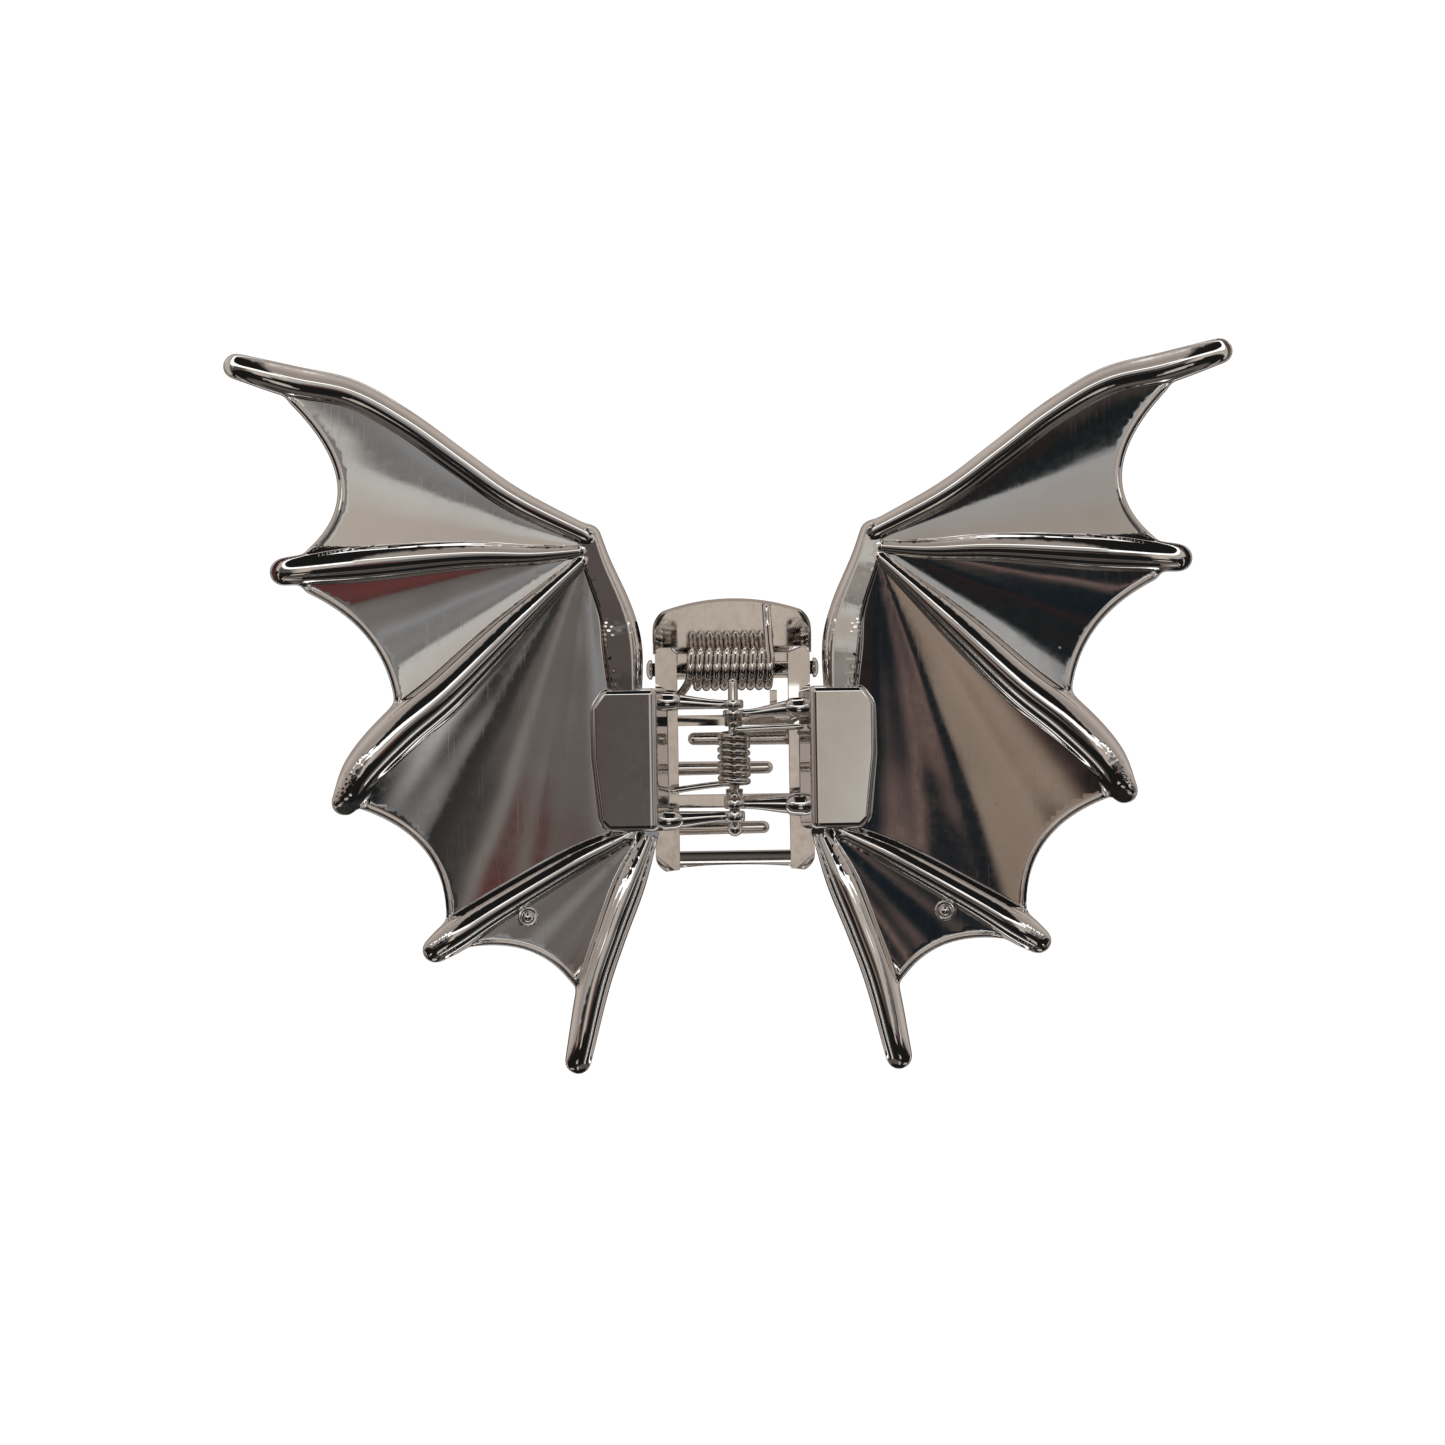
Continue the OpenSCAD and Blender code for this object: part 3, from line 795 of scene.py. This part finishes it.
class Studio(Nodes):
    """Nodes of the world. Its axes are the direction's X, Y and Z, each spread from 0 to 1."""

    def __init__(self, tree):
        super().__init__(tree)
        self.way = self.add("TexCoord").outputs["Generated"]
        self.parts = self.add("SeparateXYZ")
        self.link(self.way, self.parts.inputs[0])
        self.across, self.along, self.height = (self.spread(axis) for axis in "XYZ")
        self.ragged = self.clouds((1.0, 1.0, 1.0), 30, 8.0)
        self.hairy = self.clouds((1.0, 0.35, 1.0), -25, 110.0)

    def spread(self, axis):
        node = self.add("MapRange", {"From Min": -1.0, "From Max": 1.0})
        self.link(self.parts.outputs[axis], node.inputs["Value"])
        return node.outputs["Result"]

    def clouds(self, scale, turn, size):
        turned = self.fed("Mapping", self.way, {"Scale": scale, "Rotation": (0.0, 0.0, radians(turn))})
        values = {"Scale": size, "Detail": 2.0, "Roughness": 0.5}
        return self.fed("TexNoise", turned.outputs["Vector"], values).outputs["Fac"]

    def mixed(self, a, b, factor=1.0, blend="MIX"):
        node = self.add("Mix", data_type="RGBA", blend_type=blend)
        for name, value in (("Factor", factor), ("A", a), ("B", b)):
            sockets = [s for s in node.inputs if s.name == name and s.enabled]
            if isinstance(value, float):
                sockets[0].default_value = value
            else:
                self.link(value, sockets[0])
        return [s for s in node.outputs if s.enabled][0]

    def both(self, a, b):
        """White only where both masks are."""
        return self.mixed(a, b, blend="MULTIPLY")

    def wavering(self, value, wide, fine=None):
        """The value with wide waves on its edges, and fine hairy ones where asked for."""
        for noise, amount in ((self.ragged, wide), (self.hairy, fine)):
            if amount:
                node = self.add("Math", {1: amount}, operation="MULTIPLY_ADD")
                self.link(noise, node.inputs[0])
                self.link(value, node.inputs[2])
                value = node.outputs[0]
        return value

    def slanted(self, amount):
        """The across axis, slanted by the along axis."""
        node = self.add("Math", {1: amount, 2: -0.5 * amount}, operation="MULTIPLY_ADD")
        self.link(self.along, node.inputs[0])
        return self.maths("ADD", node.outputs[0], self.across)


def middle_overhead(s):
    """For the jaws, blocks and press plate: brown to the left, warm grey to the right."""
    return s.ramp(s.across, [
        (0.376, (0.10, 0.08, 0.072)), (0.425, (0.108, 0.095, 0.088)), (0.455, (0.34, 0.30, 0.27)),
        (0.49, (0.62, 0.55, 0.49)), (0.56, (0.54, 0.50, 0.45)), (0.585, (0.46, 0.42, 0.36)),
    ])


def with_right_side(s, overhead):
    """For the left wing: light grey, mid greys with a brown strip, then dark."""
    greys = s.ramp(s.wavering(s.slanted(-1.0), 0.006), [
        (0.59, (0.52, 0.47, 0.42)), (0.615, (0.60, 0.59, 0.56)), (0.642, (0.58, 0.575, 0.56)),
        (0.647, (0.19, 0.187, 0.18)), (0.662, (0.225, 0.222, 0.215)), (0.674, (0.30, 0.31, 0.33)),
        (0.69, (0.24, 0.225, 0.215)), (0.71, (0.145, 0.133, 0.122)), (0.735, (0.165, 0.152, 0.143)),
        (0.75, (0.22, 0.205, 0.19)), (0.765, (0.21, 0.19, 0.18)), (0.785, (0.05, 0.046, 0.043)),
        (0.82, 0.03), (0.86, 0.9), (0.89, 0.03),
    ])
    return s.mixed(overhead, greys, s.ramp(s.across, [(0.585, 0.0), (0.60, 1.0)]))


def with_left_side(s, overhead):
    """For the right wing: near black, with tan further out and grey on the far side."""
    darks = s.ramp(s.wavering(s.slanted(1.0), 0.02, 0.012), [
        (0.16, (0.08, 0.04, 0.036)), (0.20, (0.32, 0.25, 0.20)), (0.252, (0.28, 0.22, 0.175)),
        (0.262, (0.012, 0.016, 0.020)), (0.285, (0.014, 0.018, 0.022)), (0.295, (0.21, 0.14, 0.125)),
        (0.302, (0.10, 0.075, 0.07)), (0.315, (0.012, 0.018, 0.022)), (0.33, (0.008, 0.014, 0.021)),
        (0.345, (0.030, 0.018, 0.017)), (0.36, (0.011, 0.015, 0.017)),
    ])
    overhead = s.mixed(overhead, darks, s.ramp(s.across, [(0.357, 1.0), (0.367, 0.0)]))
    far = s.ramp(s.wavering(s.along, 0.02, 0.02), [(0.546, 0.0), (0.554, 1.0)])
    far_left = s.both(far, s.ramp(s.across, [(0.385, 1.0), (0.40, 0.0)]))
    greys = s.ramp(s.along, [(0.53, (0.42, 0.43, 0.43)), (0.63, (0.40, 0.36, 0.325))])
    return s.mixed(overhead, greys, far_left)


def with_near_side(s, overhead):
    """Black, with a warm panel for the press plate, and brown for the left wing."""
    near = s.ramp(s.along, [(0.415, 1.0), (0.43, 0.0)])
    aside = s.ramp(s.across, [(0.455, 1.0), (0.465, 0.0), (0.535, 0.0), (0.545, 1.0)])
    between = s.ramp(s.along, [
        (0.13, 1.0), (0.14, 0.0), (0.25, 0.0), (0.26, 1.0), (0.35, 1.0), (0.36, 0.0)
    ])
    dark = s.both(near, s.mixed(aside, between, blend="LIGHTEN"))
    overhead = s.mixed(overhead, s.ramp(s.along, [(0.0, BLACK), (1.0, BLACK)]), dark)
    strip = s.ramp(s.wavering(s.along, 0.02, 0.02), [(0.476, 1.0), (0.482, 0.0)])
    right = s.ramp(s.across, [(0.63, 0.0), (0.64, 1.0), (0.695, 1.0), (0.705, 0.0)])
    browns = s.ramp(s.along, [
        (0.385, BLACK), (0.42, (0.12, 0.042, 0.040)), (0.44, (0.14, 0.048, 0.045)),
        (0.465, (0.085, 0.036, 0.034)),
    ])
    return s.mixed(overhead, browns, s.both(strip, right))


def with_far_side(s, overhead, central):
    """A white strip, a dark gap, then tan screens; black behind the middle, for springs and pins."""
    screens = s.ramp(s.along, [
        (0.65, (0.40, 0.37, 0.34)), (0.665, WHITE), (0.70, WHITE), (0.71, BLACK), (0.725, BLACK),
        (0.735, (0.46, 0.41, 0.37)), (0.80, (0.34, 0.30, 0.27)), (0.88, (0.56, 0.50, 0.46)),
    ])
    overhead = s.mixed(overhead, screens, s.ramp(s.along, [(0.645, 0.0), (0.655, 1.0)]))
    beyond = s.ramp(s.along, [
        (0.57, (0.50, 0.45, 0.41)), (0.585, WHITE), (0.65, WHITE), (0.665, BLACK), (0.90, BLACK)
    ])
    return s.mixed(overhead, beyond, s.both(central, s.ramp(s.along, [(0.57, 0.0), (0.58, 1.0)])))


def round_the_table(s, central):
    """Tan screens on the far side, and dark ones with a white strip on the near side."""
    far = s.ramp(s.height, [
        (0.0, 0.008), (0.06, 0.015), (0.10, LOW_TAN), (0.30, MID_TAN),
        (0.40, (0.60, 0.54, 0.49)), (0.55, (0.56, 0.50, 0.46)), (0.80, (0.36, 0.32, 0.29)),
    ])
    far_centre = s.ramp(s.height, [
        (0.10, LOW_TAN), (0.30, MID_TAN), (0.44, (0.56, 0.50, 0.45)), (0.46, WHITE),
        (0.54, WHITE), (0.55, BLACK), (0.80, BLACK),
    ])
    near = s.ramp(s.height, [
        (0.0, 0.008), (0.06, 0.015), (0.11, (0.42, 0.37, 0.34)), (0.30, (0.48, 0.43, 0.40)),
        (0.33, 0.01), (0.40, 0.01), (0.42, WHITE), (0.49, WHITE), (0.50, (0.06, 0.055, 0.05)),
        (0.56, (0.05, 0.045, 0.04)), (0.64, (0.14, 0.125, 0.115)), (0.73, (0.11, 0.10, 0.092)),
        (0.79, BLACK),
    ])
    far = s.mixed(far, far_centre, central)
    return s.mixed(near, far, s.ramp(s.along, [(0.47, 0.0), (0.51, 1.0)]))


def make_world():
    """Procedural studio that the metal mirrors: panels overhead and screens round the table."""
    world = bpy.data.worlds.new("studio")
    bpy.context.scene.world = world
    world.use_nodes = True
    s = Studio(world.node_tree)
    out = s.add("OutputWorld")
    back = s.add("Background", {"Strength": 1.0})
    s.link(back.outputs[0], out.inputs["Surface"])

    central = s.ramp(s.across, [(0.36, 0.0), (0.39, 1.0), (0.61, 1.0), (0.64, 0.0)])
    overhead = middle_overhead(s)
    overhead = with_right_side(s, overhead)
    overhead = with_left_side(s, overhead)
    overhead = with_near_side(s, overhead)
    overhead = with_far_side(s, overhead, central)
    low = round_the_table(s, central)
    studio = s.mixed(low, overhead, s.ramp(s.height, [(0.83, 0.0), (0.86, 1.0)]))
    s.link(studio, back.inputs["Color"])


def make_lights():
    """Soft boxes on all sides, for the floor; the metal mirrors the studio instead."""
    for name, place, size, power in (
        ("left box", (-0.62, 0.1, 0.30), (0.10, 0.7), 1.5),
        ("right box", (0.62, -0.05, 0.34), (0.08, 0.8), 1.5),
        ("far box", (0.0, 0.75, 0.45), (0.9, 0.10), 2.0),
        ("near box", (0.1, -0.7, 0.35), (0.8, 0.08), 1.5),
    ):
        data = bpy.data.lights.new(name, "AREA")
        data.shape = "RECTANGLE"
        data.size, data.size_y = size
        data.energy = power
        light = bpy.data.objects.new(name, data)
        light.visible_glossy = False
        light.location = place
        light.rotation_euler = (-Vector(place)).to_track_quat("-Z", "Y").to_euler()
        bpy.context.scene.collection.objects.link(light)


make_camera()
materials = make_materials()
make_wings(materials)
make_studs(materials)
make_brackets(materials)
for side in ("upper", "lower"):
    softened(side + "_jaw", "jaw_" + side, materials["jaw"], side + "_jaw", JAW_EDGE_R)
make_pins(materials)
make_jaw_spring(materials)
make_wing_spring(materials)
make_floor()
make_world()
make_lights()
bpy.context.scene.view_settings.view_transform = "Standard"
